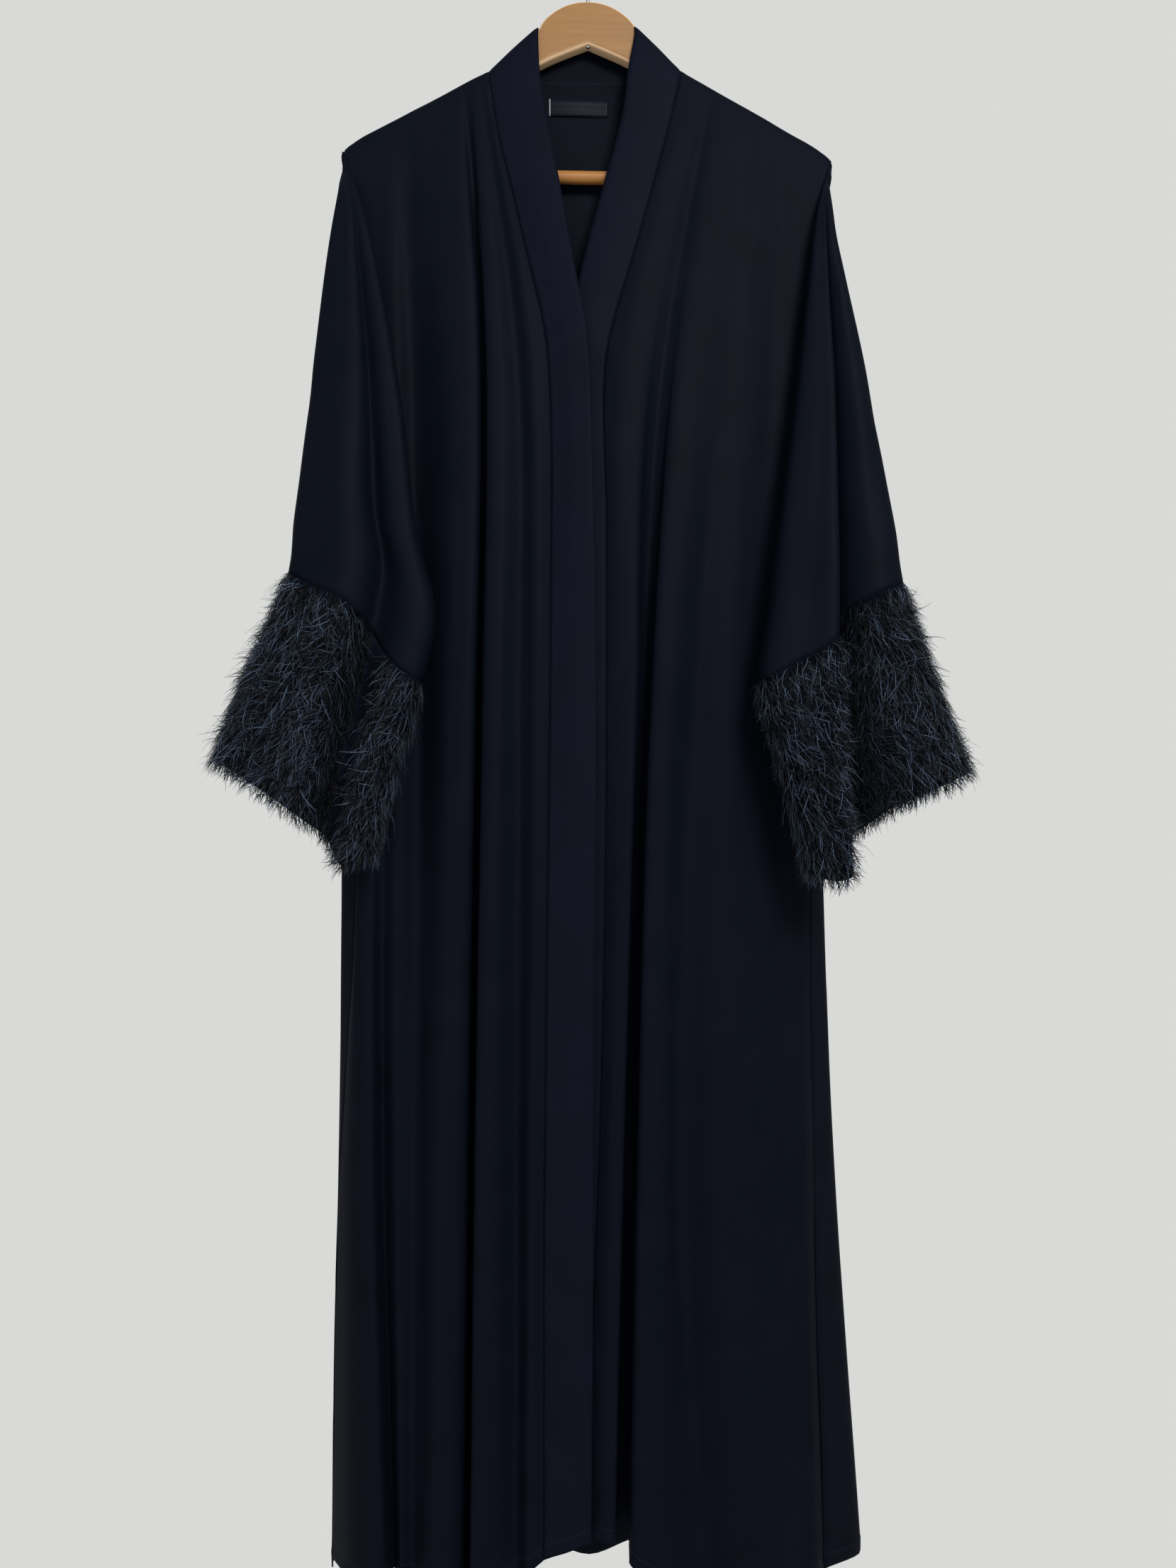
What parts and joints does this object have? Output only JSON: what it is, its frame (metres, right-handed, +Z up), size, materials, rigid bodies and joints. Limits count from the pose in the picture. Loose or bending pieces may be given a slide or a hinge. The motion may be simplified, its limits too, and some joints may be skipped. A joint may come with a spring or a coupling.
{
  "type": "abaya with clothes hanger",
  "caption": "Open-front black abaya with a long sewn band, wide sleeves and eyelash-fringed flared cuffs, hanging on a wooden hanger with a wire hook.",
  "frame": {"origin": "inside of the top of the hanger's hook, where the rail carries it", "axes": "+Z up, -Y out of the garment's front, +X the viewer's right"},
  "size_m": [0.7336, 0.1552, 1.5612],
  "materials": {
    "crepe": "matt crepe with a slight sheen",
    "band_crepe": "fused crepe, slightly smoother",
    "fringe_thread": "glossy eyelash threads",
    "beech": "satin lacquer",
    "steel_wire": "plated wire",
    "woven_label": "woven satin, bare"
  },
  "bodies": {
    "root": {"front_left": "crepe", "front_right": "crepe", "back": "crepe", "band_left": "band_crepe", "band_right": "band_crepe", "band_neck": "band_crepe", "sleeve_left": "crepe", "sleeve_right": "crepe", "cuff_left": "crepe", "cuff_right": "crepe", "fringe_left_1": "fringe_thread", "fringe_left_2": "fringe_thread", "fringe_left_3": "fringe_thread", "fringe_left_4": "fringe_thread", "fringe_right_1": "fringe_thread", "fringe_right_2": "fringe_thread", "fringe_right_3": "fringe_thread", "fringe_right_4": "fringe_thread", "hanger_arms": "beech", "hanger_bar": "beech", "hanger_hook": "steel_wire", "label": "woven_label"}
  },
  "joints": []
}
